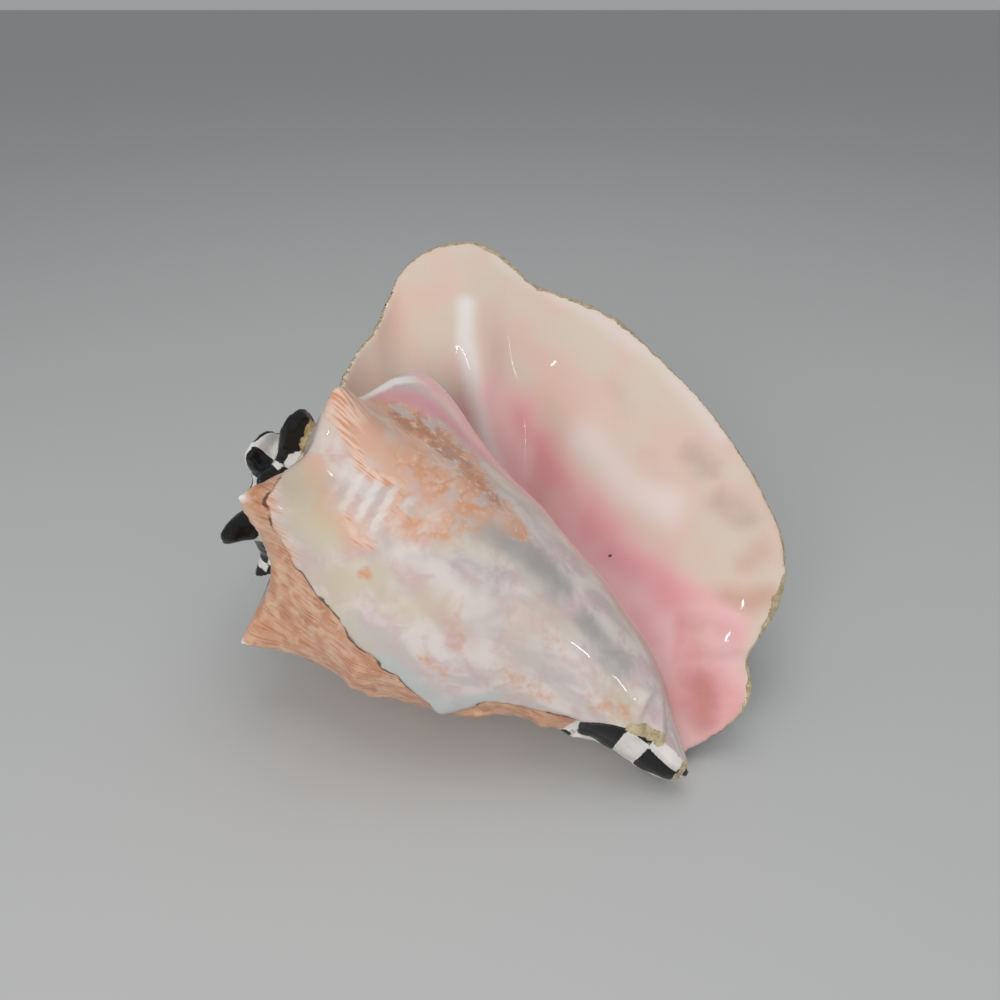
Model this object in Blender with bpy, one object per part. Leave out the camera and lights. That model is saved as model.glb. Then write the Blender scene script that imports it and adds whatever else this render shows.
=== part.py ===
"""A large queen conch shell lying on its back, with the aperture and the flared lip turned up.

The shape is worked out in the shell's own frame, in millimetres:
x runs from the coiling axis toward the lip, y toward the side that faces up and forward,
and z along the axis from the tip of the siphonal canal to the apex.
A turn angle is measured clockwise about the axis, as seen from the apex, from the y direction,
and keeps counting from one whorl to the next: the spire is below -360, the last whorl above -90.
"""

import bmesh
import bpy
import numpy as np
from mathutils import Matrix, Vector

MM = 0.001

# Driving dimensions
SHELL_LENGTH = 245.0
AXIS_RISE = 19.74
AXIS_HEADING = 146.17
ROLL = 37.8
TIP_HEIGHT = 8.2
WALL = 6.0
LIP_EDGE = 4.0
VOXEL = 1.7
CORE_STEP = 1.6
SHEET_STEP = 1.8
SOFTEN_ROUNDS = 8
TRIANGLES = 9400

# The shoulder line of the whorls: (turn angle, height along the axis) and (turn angle, radius)
SHOULDER_HEIGHT = [
    (-1800, 245.5), (-1440, 243), (-1080, 238.5), (-720, 231), (-540, 225.5), (-389, 218),
    (-302, 213), (-260, 209), (-180, 205), (-90, 202), (-29, 199), (-8, 194), (14, 195),
    (46, 182), (78, 183), (129, 174), (172, 170), (217, 167), (270, 165),
]
SHOULDER_RADIUS = [
    (-1800, 1.0), (-1440, 5.5), (-1080, 11), (-720, 19.5), (-540, 25), (-389, 32), (-302, 36),
    (-260, 39), (-180, 45), (-90, 55), (-29, 56), (14, 56), (78, 57), (129, 58), (172, 64),
    (217, 72), (270, 80),
]

# The last whorl below its shoulder: (height, radius), and (height, shift of the middle toward the lip)
BODY_RADIUS = [
    (-2, 2), (0, 4.2), (4, 6.8), (10, 10.2), (24, 16.5), (40, 23), (56, 29), (74, 36.5), (88, 42.5),
    (102, 48.5), (116, 53), (128, 55.5), (144, 57), (165, 57), (180, 56.5), (205, 56),
]
BODY_SHIFT = [
    (-2, 2), (4, 2.5), (10, 3.5), (24, 8), (40, 12), (56, 12), (74, 11), (88, 7.5), (102, 5), (116, 4),
    (128, 2.5), (156, 2), (180, 1.5), (200, 0), (245, 0),
]

# Knobs on the last whorl's shoulder: turn angle, height, half the width round the whorl, reach
# below and above the line, and how pointed it is (2 is a round mound, 1 a sharp spine)
KNOBS = [
    (-86, 21, 34, 58, 18, 2.0),
    (-29, 23, 15, 34, 10, 1.25),
    (14, 28, 17, 34, 12, 1.3),
    (78, 19, 16, 34, 11, 1.3),
    (136, 16, 13, 28, 7, 1.3),
    (172, 19.4, 16, 30, 10, 1.3),
    (217, 24, 17, 32, 12, 1.3),
    (258, 15, 18, 28, 13, 1.4),
]

# Blunt spines on the spire: turn angle, height, half the width round the whorl, and reach
# below and above the shoulder line
SPINES = [
    (-383, 21, 10, 10, 8),
    (-345, 7, 7, 8, 5),
    (-311, 19, 8, 9, 6),
    (-253, 21, 9, 10, 8),
    (-226, 6, 8, 8, 6),
    (-190, 17, 9, 9, 7),
    (-135, 11, 10, 9, 6),
    (-430, 8, 6, 6, 4),
    (-475, 7, 6, 6, 4),
    (-520, 7, 6, 6, 4),
    (-565, 6, 5, 6, 4),
    (-610, 5.5, 5, 5, 4),
    (-655, 5, 5, 5, 4),
    (-720, 17, 10, 9, 8),
]
SPINE_TAPER = 1.6
SPINE_BLUNTNESS = 1.7

# Low spiral cords round the last whorl: height at turn angle 110, rise of the ridge, half width
CORDS = [
    (129, 4.0, 6.5),
    (92, 4.4, 5.5),
    (56, 3.6, 4.5),
]

# The lip's margin, from the canal round to the spire: (share of the way, x, y, z)
MARGIN = [
    (0.00, 15, -16, 3.5), (0.035, 21, -13, -2), (0.07, 30, -11, -6), (0.105, 42, -10, -7),
    (0.13, 50, -11, -4), (0.155, 58, -14, 3), (0.19, 69, -15, 4.5), (0.23, 83, -17, 5),
    (0.29, 101, -20, 10), (0.35, 116, -23, 21), (0.41, 129, -25, 38), (0.48, 143, -27, 63),
    (0.54, 154, -28, 91), (0.60, 162, -28, 124), (0.66, 166, -27, 155), (0.71, 162, -25, 179),
    (0.75, 156, -21, 198), (0.785, 157, -17, 213), (0.82, 155, -12, 230), (0.85, 148, -10, 241),
    (0.88, 135, -10, 252), (0.905, 119, -10, 256), (0.93, 100, -8, 250), (0.95, 84, -4, 243),
    (0.97, 67, 2, 239), (0.985, 54, 8, 233), (1.00, 40, 14, 224),
]

BODY_WIDEST = 56.0
CANAL_TIP = -2.0
CANAL_LIFT = 5.6
KNOB_FALL = 1.9
WHORL_TAPER = 0.1
RAMP_SLOPE = 1.45
COLUMELLA_WAIST = 0.47
UNDERSIDE_WEAR = 5.0
WORN_TURN = 158.0
CORE_END = 100.0
WALL_START = 78.0
LIP_START = 190.0
LIP_TURNS = 150.0
SHARE_LENGTH = 220.0
SHOULDER_SHARE = 0.75
SUTURE_DROP = 5.0

# Folds that run across the lip: share at the throat and at the margin, offset toward y,
# half width as a share, and the stretch from throat to margin where the fold is strongest
FOLDS = [
    (0.66, 0.84, 12.0, 0.05, 0.50, 0.26),
    (0.60, 0.755, -11.0, 0.06, 0.50, 0.30),
    (0.42, 0.42, -6.0, 0.22, 0.42, 0.20),
    (0.155, 0.155, 3.5, 0.018, 0.85, 0.30),
    (0.075, 0.075, -2.5, 0.03, 0.75, 0.30),
    (0.36, 0.36, 2.0, 0.05, 0.85, 0.22),
]


def through(points, where):
    """A smooth curve through the points (position, value, ...), read at each place in where."""
    table = np.array(points, float)
    at, values = table[:, 0], table[:, 1:]
    where = np.clip(np.asarray(where, float), at[0], at[-1])
    slopes = np.gradient(values, at, axis=0)
    low = np.clip(np.searchsorted(at, where, side="right") - 1, 0, len(at) - 2)
    span = at[low + 1] - at[low]
    t = ((where - at[low]) / span)[..., None]
    span = span[..., None]
    start, end = values[low], values[low + 1]
    shape = (
        (1 + 2 * t) * (1 - t) ** 2 * start
        + t * (1 - t) ** 2 * span * slopes[low]
        + t * t * (3 - 2 * t) * end
        + t * t * (t - 1) * span * slopes[low + 1]
    )
    return shape[..., 0] if shape.shape[-1] == 1 else shape


def ease(value):
    value = np.clip(value, 0, 1)
    return value * value * (3 - 2 * value)


def knob_rise(turn, z, knob):
    """How far one knob pushes the surface out, as a share of its height."""
    at, _, half_width, below, above, sharp = knob
    radius = through(SHOULDER_RADIUS, at)
    middle = through(SHOULDER_HEIGHT, at)
    across = np.radians(turn - at) * radius / half_width
    along = (z - middle) / np.where(z < middle, below, above)
    reach = np.sqrt(across**2 + along**2)
    return np.exp(-KNOB_FALL * reach**sharp)


def spine_rise(turn, z, spine):
    """A knob whose top is cut off, as a share of its height."""
    rise = SPINE_BLUNTNESS * knob_rise(turn, z, (*spine, SPINE_TAPER))
    return rise / (1 + rise**6) ** (1 / 6)


def smooth_radius(turn, z):
    """Distance of a whorl's surface from its middle, without knobs, at a turn angle and a height."""
    shoulder = through(SHOULDER_HEIGHT, turn)
    radius = through(SHOULDER_RADIUS, turn)
    body = through(BODY_RADIUS, z)
    grown = body + (radius - BODY_WIDEST) * ease((z - 30) / (shoulder - 30))
    slim = np.minimum(radius - WHORL_TAPER * (shoulder - z), body)
    worn = UNDERSIDE_WEAR * np.exp(-(((turn - WORN_TURN) / 32) ** 2)) * ease((z - 45) / 40)
    grown = grown - worn * ease((185 - z) / 40)
    last = ease((turn + 300) / 60)
    below = slim + (grown - slim) * last
    height = np.maximum(z - shoulder, 0)
    ramp = RAMP_SLOPE * height + 1.5 * (1 - np.exp(-height / 2.5))
    return np.where(z > shoulder, radius - ramp, below)


def relief(turn, z):
    """Knobs, spines and low cords that stand out from the smooth whorl."""
    surface = np.zeros(np.broadcast(turn, z).shape)
    for knob in KNOBS:
        surface = surface + knob[1] * knob_rise(turn, z, knob)
    for spine in SPINES:
        surface = surface + spine[1] * spine_rise(turn, z, spine)
    for height, rise, half_width in CORDS:
        line = height * (1 - 0.0004 * (turn - 110))
        side = ease((turn - 48) / 26) * (0.3 + 0.7 * ease((150 - turn) / 25))
        beads = 0.75 + 0.25 * np.cos(np.radians((turn - 110) * 9))
        surface = surface + side * rise * beads * np.exp(-(((z - line) / half_width) ** 2))
    return surface


def whorl_radius(turn, z):
    return smooth_radius(turn, z) + relief(turn, z)


def core_radius(angle, z):
    """The solid inside the lip: body whorl, columella and spire, down to where the hollow starts."""
    outermost = whorl_radius(angle, z)
    behind = ease((-75 - angle) / 150)
    hollow = ease((angle + 262) / 22)
    columella = 1 - COLUMELLA_WAIST * behind * ease((218 - z) / 30)
    first = outermost * columella
    solid = whorl_radius(angle + 360, z) - 2.0
    surface = np.where(angle < -220, first * hollow + solid * (1 - hollow), first)
    for turns in range(1, 5):
        surface = np.maximum(surface, whorl_radius(angle - 360 * turns, z))
    return np.maximum(surface, 0.4)


def from_polar(turn, radius, z):
    """Points in the shell's own frame."""
    shift = through(BODY_SHIFT, z)
    turn = np.radians(turn)
    return np.stack([shift - radius * np.sin(turn), radius * np.cos(turn), z + 0 * radius], -1)


def ringed_mesh(name, rows, strip_ends):
    """A closed mesh from rings of points. The end rings are capped, with a strip across where
    each ring runs out along one face of a thin wall and back along the other."""
    count, width = rows.shape[:2]
    faces = []
    for row in range(count - 1):
        for column in range(width):
            a = row * width + column
            b = row * width + (column + 1) % width
            faces.append((a, b, b + width, a + width))
    last = (count - 1) * width
    if strip_ends:
        for column in range(width // 2 - 1):
            across = width - 1 - column
            faces.append((column, across, across - 1, column + 1))
            faces.append((last + column, last + column + 1, last + across - 1, last + across))
    else:
        faces.append(tuple(range(width))[::-1])
        faces.append(tuple(range(last, last + width)))
    mesh = bpy.data.meshes.new(name)
    mesh.from_pydata(rows.reshape(-1, 3).tolist(), [], faces)
    return mesh


def core_rows(step):
    """Rings round the axis from the canal's tip to the apex."""
    heights = np.linspace(CANAL_TIP, SHELL_LENGTH, int(SHELL_LENGTH / step) + 4)
    around = int(2 * np.pi * BODY_WIDEST / step)
    angles = np.linspace(CORE_END - 360, CORE_END, around, endpoint=False)
    turn, z = np.meshgrid(angles, heights)
    return from_polar(turn, core_radius(turn, z), z)


def generating_curve(turn, share):
    """The middle of the wall at a turn angle: share 0 at the canal, 1 at the suture."""
    shoulder = through(SHOULDER_HEIGHT, turn)
    low = 3 + (shoulder - 3) * share / SHOULDER_SHARE
    top = through(SHOULDER_HEIGHT, turn - 360) - SUTURE_DROP
    inner = through(SHOULDER_RADIUS, turn - 360) - SUTURE_DROP
    up = (share - SHOULDER_SHARE) / (1 - SHOULDER_SHARE)
    on_ramp = share > SHOULDER_SHARE
    z = np.where(on_ramp, shoulder + (top - shoulder) * up, low)
    outer = smooth_radius(turn, np.minimum(z, shoulder))
    ramp = outer + (inner - outer) * up - 3 * np.sin(np.pi * np.clip(up, 0, 1))
    canal = CANAL_LIFT * ease((turn - 110) / 50) * ease((60 - z) / 50)
    radius = np.where(on_ramp, ramp, outer) - WALL / 2 + canal
    return from_polar(turn, radius, z)


def wall_sheet(step):
    """The middle of the last whorl's wall and of the lip, as a grid (along growth, share), how
    far the outer face stands out at each point of it, and the growth angle of each row."""
    shares = np.linspace(0, 1, int(300 / step))
    turns = np.linspace(WALL_START, LIP_START, int(130 / step))
    turn, share = np.meshgrid(turns, shares, indexing="ij")
    wall = generating_curve(turn, share)
    start = wall[-1]
    leave = wall[-1] - wall[-3]
    leave /= np.linalg.norm(leave, axis=-1, keepdims=True)
    margin = through(MARGIN, shares)
    chord = margin - start
    length = np.linalg.norm(chord, axis=-1, keepdims=True)
    arrive = chord * np.array([1.0, 0.35, 1.0])
    arrive /= np.linalg.norm(arrive, axis=-1, keepdims=True)
    t = np.linspace(0, 1, int(170 / step))[1:, None, None]
    lip = (
        (1 + 2 * t) * (1 - t) ** 2 * start
        + t * (1 - t) ** 2 * length * 0.9 * leave
        + t * t * (3 - 2 * t) * margin
        + t * t * (t - 1) * length * 0.8 * arrive
    )
    way = t[..., 0]
    for inner, outer, offset, half_width, strongest, spread in FOLDS:
        middle = inner + (outer - inner) * ease(way)
        across = np.exp(-(((shares[None, :] - middle) / half_width) ** 2))
        along = np.exp(-(((way - strongest) / spread) ** 2)) * ease(way / 0.15)
        lip[..., 1] += offset * across * along
    turns = np.concatenate([turns, LIP_START + LIP_TURNS * t[:, 0, 0]])
    level = through(SHOULDER_HEIGHT, turns)[:, None] + (shares - SHOULDER_SHARE) * SHARE_LENGTH
    fade = ease((turns[-1] + 10 - turns) / 60)[:, None]
    return np.concatenate([wall, lip]), relief(turns[:, None], level) * fade, turns


def sheet_normal(sheet):
    """Points out of the shell, away from the aperture."""
    normal = np.cross(np.gradient(sheet, axis=0), np.gradient(sheet, axis=1))
    return normal / (np.linalg.norm(normal, axis=-1, keepdims=True) + 1e-9)


def knob_direction(normal, turns):
    """Knobs stand straight out from the axis on the body whorl, and across the wall on the lip."""
    turn = np.radians(turns)[:, None, None]
    outward = np.concatenate([-np.sin(turn), np.cos(turn), 0 * turn], axis=-1)
    on_lip = ease((turns - 150) / 60)[:, None, None]
    return normal * on_lip + outward * (1 - on_lip)


def thick_rows(sheet, rise, turns):
    """The sheet made solid: each row of the grid becomes a ring, out along the inner face and
    back along the outer one."""
    normal = sheet_normal(sheet)
    thickness = np.linspace(WALL, LIP_EDGE, len(sheet))[:, None, None]
    half = normal * thickness / 2
    outside = knob_direction(normal, turns) * rise[..., None]
    return np.concatenate([sheet - half, (sheet + half + outside)[:, ::-1]], axis=1)


def resting_matrix():
    """Turns the shell's own frame into the frame in which it lies on the ground, in metres."""
    rise, heading, roll = np.radians([AXIS_RISE, AXIS_HEADING, ROLL])
    axis = Vector(
        (np.cos(rise) * np.cos(heading), np.cos(rise) * np.sin(heading), np.sin(rise))
    )
    top = (Vector((0, 0, 1)) - axis * axis.z).normalized()
    side = axis.cross(top)
    out = top * np.cos(roll) - side * np.sin(roll)
    wide = top * np.sin(roll) + side * np.cos(roll)
    turn = Matrix((wide, out, axis)).transposed().to_4x4()
    return Matrix.Translation((0, 0, TIP_HEIGHT * MM)) @ turn @ Matrix.Scale(MM, 4)


def centre_on_origin(item):
    """Puts the middle of the box round the shell over the origin."""
    places = np.array([vertex.co for vertex in item.data.vertices])
    middle = (places.min(axis=0) + places.max(axis=0)) / 2
    item.data.transform(Matrix.Translation((-middle[0], -middle[1], 0)))


def flatten_feet(item):
    """Wears the few lowest points of the shell flat where they meet the ground."""
    worn = bmesh.new()
    worn.from_mesh(item.data)
    everything = list(worn.verts) + list(worn.edges) + list(worn.faces)
    bmesh.ops.bisect_plane(
        worn, geom=everything, dist=1e-5, plane_co=(0, 0, 0), plane_no=(0, 0, 1), clear_inner=True
    )
    bmesh.ops.holes_fill(worn, edges=[edge for edge in worn.edges if edge.is_boundary], sides=0)
    bmesh.ops.triangulate(worn, faces=list(worn.faces))
    worn.to_mesh(item.data)
    worn.free()


def shell_material():
    material = bpy.data.materials.new("shell")
    material.use_nodes = True
    shader = material.node_tree.nodes["Principled BSDF"]
    shader.inputs["Base Color"].default_value = (0.79, 0.56, 0.46, 1)
    shader.inputs["Roughness"].default_value = 0.25
    shader.inputs["Metallic"].default_value = 0
    return material


def bake(item):
    """Replaces the object's mesh by what its modifiers make of it."""
    bpy.context.view_layer.update()
    graph = bpy.context.evaluated_depsgraph_get()
    mesh = bpy.data.meshes.new_from_object(item.evaluated_get(graph))
    item.modifiers.clear()
    old = item.data
    item.data = mesh
    bpy.data.meshes.remove(old)
    mesh.name = item.name


def build_shell():
    placed = resting_matrix()
    points = []
    faces = []
    core = ringed_mesh("core", core_rows(CORE_STEP), False)
    wall = ringed_mesh("wall", thick_rows(*wall_sheet(SHEET_STEP)), True)
    for mesh in (core, wall):
        mesh.transform(placed)
        first = len(points)
        points += [vertex.co.copy() for vertex in mesh.vertices]
        faces += [[first + corner for corner in face.vertices] for face in mesh.polygons]
        bpy.data.meshes.remove(mesh)
    mesh = bpy.data.meshes.new("conch_shell")
    mesh.from_pydata(points, [], faces)
    shell = bpy.data.objects.new("conch_shell", mesh)
    bpy.context.scene.collection.objects.link(shell)
    remesh = shell.modifiers.new("one skin", "REMESH")
    remesh.mode = "VOXEL"
    remesh.voxel_size = VOXEL * MM
    soften = shell.modifiers.new("soften", "SMOOTH")
    soften.factor = 0.5
    soften.iterations = SOFTEN_ROUNDS
    bake(shell)
    thin = shell.modifiers.new("thin out", "DECIMATE")
    thin.ratio = min(1.0, TRIANGLES / sum(len(face.vertices) - 2 for face in shell.data.polygons))
    bake(shell)
    flatten_feet(shell)
    centre_on_origin(shell)
    return shell


def main():
    for item in list(bpy.data.objects):
        bpy.data.objects.remove(item)
    shell = build_shell()
    shell.data.materials.clear()
    shell.data.materials.append(shell_material())
    shell.data.shade_smooth()


if __name__ == "__main__":
    main()
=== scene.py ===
import bpy
import numpy as np
from mathutils import Matrix, Vector, noise
from mathutils.kdtree import KDTree


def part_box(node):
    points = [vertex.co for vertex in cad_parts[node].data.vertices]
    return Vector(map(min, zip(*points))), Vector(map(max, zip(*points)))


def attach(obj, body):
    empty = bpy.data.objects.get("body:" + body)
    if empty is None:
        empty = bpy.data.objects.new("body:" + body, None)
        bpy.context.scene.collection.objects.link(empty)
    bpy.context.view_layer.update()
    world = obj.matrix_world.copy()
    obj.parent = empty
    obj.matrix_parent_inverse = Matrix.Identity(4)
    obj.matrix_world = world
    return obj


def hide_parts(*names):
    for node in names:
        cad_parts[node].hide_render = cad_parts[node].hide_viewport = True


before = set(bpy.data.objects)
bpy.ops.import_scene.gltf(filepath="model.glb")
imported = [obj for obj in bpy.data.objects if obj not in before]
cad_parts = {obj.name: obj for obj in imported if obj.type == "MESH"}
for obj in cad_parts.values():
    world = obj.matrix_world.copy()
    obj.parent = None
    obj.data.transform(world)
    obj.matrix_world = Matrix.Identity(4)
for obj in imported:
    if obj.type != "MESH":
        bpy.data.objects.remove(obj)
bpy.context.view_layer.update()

# A large queen conch lying on its back, glazed, with painted checks and a gilded rim.
#
# The shape is worked out in the shell's own frame, in millimetres, as in the part's source:
# x runs from the coiling axis toward the lip, y toward the side that faces up and forward, and
# z along the axis from the tip of the siphonal canal to the apex. A turn angle is measured
# clockwise about the axis, seen from the apex, from the y direction.

MM = 0.001
CAD_NODE = "conch_shell"

# Driving dimensions of the shell
SHELL_LENGTH = 245.0
AXIS_RISE = 19.74
AXIS_HEADING = 146.17
ROLL = 37.8
TIP_HEIGHT = 8.2
WALL = 6.0
LIP_EDGE = 3.2
VOXEL = 1.58
CORE_STEP = 1.3
SHEET_STEP = 1.5
SOFTEN_ROUNDS = 8

# The shoulder line of the whorls: (turn angle, height along the axis) and (turn angle, radius)
SHOULDER_HEIGHT = [
    (-1800, 245.5), (-1440, 243), (-1080, 238.5), (-720, 231), (-540, 225.5), (-389, 218),
    (-302, 213), (-260, 209), (-180, 205), (-90, 202), (-29, 199), (-8, 194), (14, 195),
    (46, 182), (78, 183), (129, 174), (172, 170), (217, 167), (270, 165),
]
SHOULDER_RADIUS = [
    (-1800, 1.0), (-1440, 5.5), (-1080, 11), (-720, 19.5), (-540, 25), (-389, 32), (-302, 36),
    (-260, 39), (-180, 45), (-90, 55), (-29, 56), (14, 56), (78, 57), (129, 58), (172, 64),
    (217, 72), (270, 80),
]

# The last whorl below its shoulder: (height, radius), and (height, shift of the middle toward the lip)
BODY_RADIUS = [
    (-2, 2), (0, 4.2), (4, 6.8), (10, 10.2), (24, 16.5), (40, 23), (56, 29), (74, 36.5), (88, 42.5),
    (102, 48.5), (116, 53), (128, 55.5), (144, 57), (165, 57), (180, 56.5), (205, 56),
]
BODY_SHIFT = [
    (-2, 2), (4, 2.5), (10, 3.5), (24, 8), (40, 12), (56, 12), (74, 11), (88, 7.5), (102, 5), (116, 4),
    (128, 2.5), (156, 2), (180, 1.5), (200, 0), (245, 0),
]

# Knobs on the last whorl's shoulder: turn angle, height, half the width round the whorl, reach
# below and above the line, and how pointed it is (2 is a round mound, 1 a sharp spine)
KNOBS = [
    (-86, 21, 34, 58, 18, 2.0),
    (-29, 23, 15, 34, 10, 1.25),
    (14, 28, 17, 34, 12, 1.3),
    (78, 19, 16, 34, 11, 1.3),
    (136, 16, 13, 28, 7, 1.3),
    (172, 19.4, 16, 30, 10, 1.3),
    (217, 24, 17, 32, 12, 1.3),
    (258, 15, 18, 28, 13, 1.4),
]

# Blunt spines on the spire: turn angle, height, half the width round the whorl, and reach
# below and above the shoulder line
SPINES = [
    (-383, 21, 10, 10, 8),
    (-345, 7, 7, 8, 5),
    (-311, 19, 8, 9, 6),
    (-253, 21, 9, 10, 8),
    (-226, 6, 8, 8, 6),
    (-190, 17, 9, 9, 7),
    (-135, 11, 10, 9, 6),
    (-430, 8, 6, 6, 4),
    (-475, 7, 6, 6, 4),
    (-520, 7, 6, 6, 4),
    (-565, 6, 5, 6, 4),
    (-610, 5.5, 5, 5, 4),
    (-655, 5, 5, 5, 4),
    (-720, 17, 10, 9, 8),
]
SPINE_TAPER = 1.6
SPINE_BLUNTNESS = 1.7

# Low spiral cords round the last whorl: height at turn angle 110, rise of the ridge, half width
CORDS = [
    (129, 4.0, 6.5),
    (92, 4.4, 5.5),
    (56, 3.6, 4.5),
]

# The lip's margin, from the canal round to the spire: (share of the way, x, y, z)
MARGIN = [
    (0.00, 15, -16, 3.5), (0.035, 21, -13, -2), (0.07, 30, -11, -6), (0.105, 42, -10, -7),
    (0.13, 50, -11, -4), (0.155, 58, -14, 3), (0.19, 69, -15, 4.5), (0.23, 83, -17, 5),
    (0.29, 101, -20, 10), (0.35, 116, -23, 21), (0.41, 129, -25, 38), (0.48, 143, -27, 63),
    (0.54, 154, -28, 91), (0.60, 162, -28, 124), (0.66, 166, -27, 155), (0.71, 162, -25, 179),
    (0.75, 156, -21, 198), (0.785, 157, -17, 213), (0.82, 155, -12, 230), (0.85, 148, -10, 241),
    (0.88, 135, -10, 252), (0.905, 119, -10, 256), (0.93, 100, -8, 250), (0.95, 84, -4, 243),
    (0.97, 67, 2, 239), (0.985, 54, 8, 233), (1.00, 40, 14, 224),
]

BODY_WIDEST = 56.0
CANAL_TIP = -2.0
CANAL_LIFT = 5.6
KNOB_FALL = 1.9
WHORL_TAPER = 0.1
RAMP_SLOPE = 1.45
COLUMELLA_WAIST = 0.47
UNDERSIDE_WEAR = 5.0
WORN_TURN = 158.0
CORE_END = 100.0
WALL_START = 78.0
LIP_START = 190.0
LIP_TURNS = 150.0
SHARE_LENGTH = 220.0
SHOULDER_SHARE = 0.75
SUTURE_DROP = 5.0

# Folds that run across the lip: share at the throat and at the margin, offset toward y,
# half width as a share, and the stretch from throat to margin where the fold is strongest
FOLDS = [
    (0.66, 0.84, 12.0, 0.05, 0.50, 0.26),
    (0.60, 0.755, -11.0, 0.06, 0.50, 0.30),
    (0.42, 0.42, -6.0, 0.22, 0.42, 0.20),
    (0.155, 0.155, 3.5, 0.018, 0.85, 0.30),
    (0.075, 0.075, -2.5, 0.03, 0.75, 0.30),
    (0.36, 0.36, 2.0, 0.05, 0.85, 0.22),
]

# Camera of the photograph, in the part's frame
CAMERA_PLACE = (-0.0055, -0.3262, 0.2922)
CAMERA_PITCH = 56.5
LENS = 29.52


# Curves and profiles

def through(points, where):
    """A smooth curve through the points (position, value, ...), read at each place in where."""
    table = np.array(points, float)
    at, values = table[:, 0], table[:, 1:]
    where = np.clip(np.asarray(where, float), at[0], at[-1])
    slopes = np.gradient(values, at, axis=0)
    low = np.clip(np.searchsorted(at, where, side="right") - 1, 0, len(at) - 2)
    span = at[low + 1] - at[low]
    t = ((where - at[low]) / span)[..., None]
    span = span[..., None]
    start, end = values[low], values[low + 1]
    shape = (
        (1 + 2 * t) * (1 - t) ** 2 * start
        + t * (1 - t) ** 2 * span * slopes[low]
        + t * t * (3 - 2 * t) * end
        + t * t * (t - 1) * span * slopes[low + 1]
    )
    return shape[..., 0] if shape.shape[-1] == 1 else shape


def ease(value):
    value = np.clip(value, 0, 1)
    return value * value * (3 - 2 * value)


def knob_rise(turn, z, knob):
    """How far one knob pushes the surface out, as a share of its height."""
    at, _, half_width, below, above, sharp = knob
    radius = through(SHOULDER_RADIUS, at)
    middle = through(SHOULDER_HEIGHT, at)
    across = np.radians(turn - at) * radius / half_width
    along = (z - middle) / np.where(z < middle, below, above)
    reach = np.sqrt(across**2 + along**2)
    return np.exp(-KNOB_FALL * reach**sharp)


def spine_rise(turn, z, spine):
    """A knob whose top is cut off, as a share of its height."""
    rise = SPINE_BLUNTNESS * knob_rise(turn, z, (*spine, SPINE_TAPER))
    return rise / (1 + rise**6) ** (1 / 6)


def smooth_radius(turn, z):
    """Distance of a whorl's surface from its middle, without knobs, at a turn angle and a height."""
    shoulder = through(SHOULDER_HEIGHT, turn)
    radius = through(SHOULDER_RADIUS, turn)
    body = through(BODY_RADIUS, z)
    grown = body + (radius - BODY_WIDEST) * ease((z - 30) / (shoulder - 30))
    slim = np.minimum(radius - WHORL_TAPER * (shoulder - z), body)
    worn = UNDERSIDE_WEAR * np.exp(-(((turn - WORN_TURN) / 32) ** 2)) * ease((z - 45) / 40)
    grown = grown - worn * ease((185 - z) / 40)
    last = ease((turn + 300) / 60)
    below = slim + (grown - slim) * last
    height = np.maximum(z - shoulder, 0)
    ramp = RAMP_SLOPE * height + 1.5 * (1 - np.exp(-height / 2.5))
    return np.where(z > shoulder, radius - ramp, below)


def relief(turn, z):
    """Knobs, spines and low cords that stand out from the smooth whorl."""
    surface = np.zeros(np.broadcast(turn, z).shape)
    for knob in KNOBS:
        surface = surface + knob[1] * knob_rise(turn, z, knob)
    for spine in SPINES:
        surface = surface + spine[1] * spine_rise(turn, z, spine)
    for height, rise, half_width in CORDS:
        line = height * (1 - 0.0004 * (turn - 110))
        side = ease((turn - 48) / 26) * (0.3 + 0.7 * ease((150 - turn) / 25))
        beads = 0.75 + 0.25 * np.cos(np.radians((turn - 110) * 9))
        surface = surface + side * rise * beads * np.exp(-(((z - line) / half_width) ** 2))
    return surface


def whorl_radius(turn, z):
    return smooth_radius(turn, z) + relief(turn, z)


def core_radius(angle, z):
    """The solid inside the lip: body whorl, columella and spire, down to where the hollow starts."""
    outermost = whorl_radius(angle, z)
    behind = ease((-75 - angle) / 150)
    hollow = ease((angle + 262) / 22)
    columella = 1 - COLUMELLA_WAIST * behind * ease((218 - z) / 30)
    first = outermost * columella
    solid = whorl_radius(angle + 360, z) - 2.0
    surface = np.where(angle < -220, first * hollow + solid * (1 - hollow), first)
    for turns in range(1, 5):
        surface = np.maximum(surface, whorl_radius(angle - 360 * turns, z))
    return np.maximum(surface, 0.4)


def from_polar(turn, radius, z):
    """Points in the shell's own frame."""
    shift = through(BODY_SHIFT, z)
    turn = np.radians(turn)
    return np.stack([shift - radius * np.sin(turn), radius * np.cos(turn), z + 0 * radius], -1)


# Skin of the shell

def ringed_mesh(name, rows, strip_ends):
    """A closed mesh from rings of points. The end rings are capped, with a strip across where
    each ring runs out along one face of a thin wall and back along the other."""
    count, width = rows.shape[:2]
    faces = []
    for row in range(count - 1):
        for column in range(width):
            a = row * width + column
            b = row * width + (column + 1) % width
            faces.append((a, b, b + width, a + width))
    last = (count - 1) * width
    if strip_ends:
        for column in range(width // 2 - 1):
            across = width - 1 - column
            faces.append((column, across, across - 1, column + 1))
            faces.append((last + column, last + column + 1, last + across - 1, last + across))
    else:
        faces.append(tuple(range(width))[::-1])
        faces.append(tuple(range(last, last + width)))
    mesh = bpy.data.meshes.new(name)
    mesh.from_pydata(rows.reshape(-1, 3).tolist(), [], faces)
    return mesh


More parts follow.
